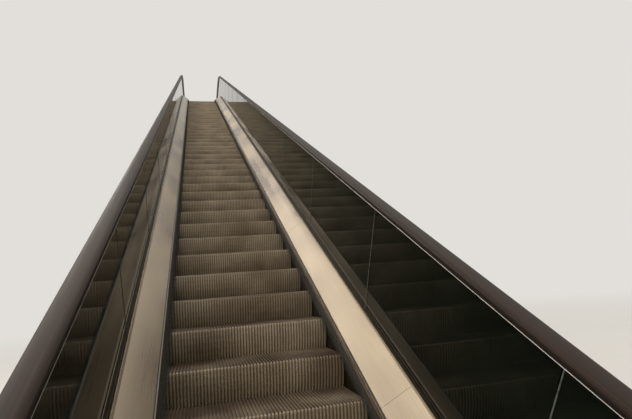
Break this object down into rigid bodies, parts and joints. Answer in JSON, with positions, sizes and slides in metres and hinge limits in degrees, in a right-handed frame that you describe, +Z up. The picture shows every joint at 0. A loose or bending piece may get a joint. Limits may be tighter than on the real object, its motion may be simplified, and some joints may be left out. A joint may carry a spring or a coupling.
{
  "type": "escalator",
  "caption": "Escalator with cleated moving steps, combs, a lattice truss, smoked glass balustrades, sloping decks, skirt brushes and moving rubber handrails.",
  "frame": {"origin": "middle of the flat underside of the lower bearing bracket, which rests on the building", "axes": "+Y along the run towards the upper floor, +Z up, +X to the right of a person riding up"},
  "size_m": [1.59, 25.3515, 11.579],
  "materials": {
    "truss_paint": "matt primer",
    "galvanised_steel": "dull zinc",
    "rail_steel": "rolled",
    "step_metal": "worn, brown grey",
    "axle_steel": "ground",
    "roller_plastic": "moulded",
    "chain_steel": "oiled",
    "wheel_iron": "cast",
    "machine_paint": "gloss",
    "floor_metal": "ribbed",
    "comb_metal": "ribbed",
    "skirt_coat": "low friction coat",
    "brush_plastic": "bristles",
    "deck_metal": "brushed, warm",
    "outer_metal": "satin",
    "seal_rubber": "matt",
    "clamp_metal": "satin",
    "smoked_glass": "polished",
    "handrail_rubber": "satin, worn",
    "guide_metal": "satin",
    "cap_plastic": "moulded"
  },
  "bodies": {
    "root": {"truss_chords": "truss_paint", "truss_posts": "truss_paint", "truss_diagonals": "truss_paint", "truss_beams": "truss_paint", "truss_soffit": "galvanised_steel", "bearing_brackets": "truss_paint", "running_rails": "rail_steel", "rail_brackets": "truss_paint", "steps_lower": "step_metal", "steps_run_1": "step_metal", "steps_run_2": "step_metal", "steps_run_3": "step_metal", "steps_upper": "step_metal", "steps_return": "step_metal", "step_axles": "axle_steel", "trailing_rollers": "roller_plastic", "chain_left": "chain_steel", "chain_right": "chain_steel", "drive_wheels": "wheel_iron", "tension_wheels": "wheel_iron", "drive_machine": "machine_paint", "floor_plate_lower": "floor_metal", "floor_plate_upper": "floor_metal", "comb_lower": "comb_metal", "comb_upper": "comb_metal", "balustrade_brackets": "truss_paint", "skirt_left": "skirt_coat", "skirt_right": "skirt_coat", "brush_left": "brush_plastic", "brush_right": "brush_plastic", "inner_deck_left": "deck_metal", "inner_deck_right": "deck_metal", "outer_deck_left": "outer_metal", "outer_deck_right": "outer_metal", "deck_seal_left": "seal_rubber", "deck_seal_right": "seal_rubber", "glass_clamp_left": "clamp_metal", "glass_clamp_right": "clamp_metal", "glass_left": "smoked_glass", "glass_right": "smoked_glass", "handrail_left": "handrail_rubber", "handrail_right": "handrail_rubber", "handrail_guide_left": "guide_metal", "handrail_guide_right": "guide_metal", "handrail_inlets": "cap_plastic"}
  },
  "joints": []
}
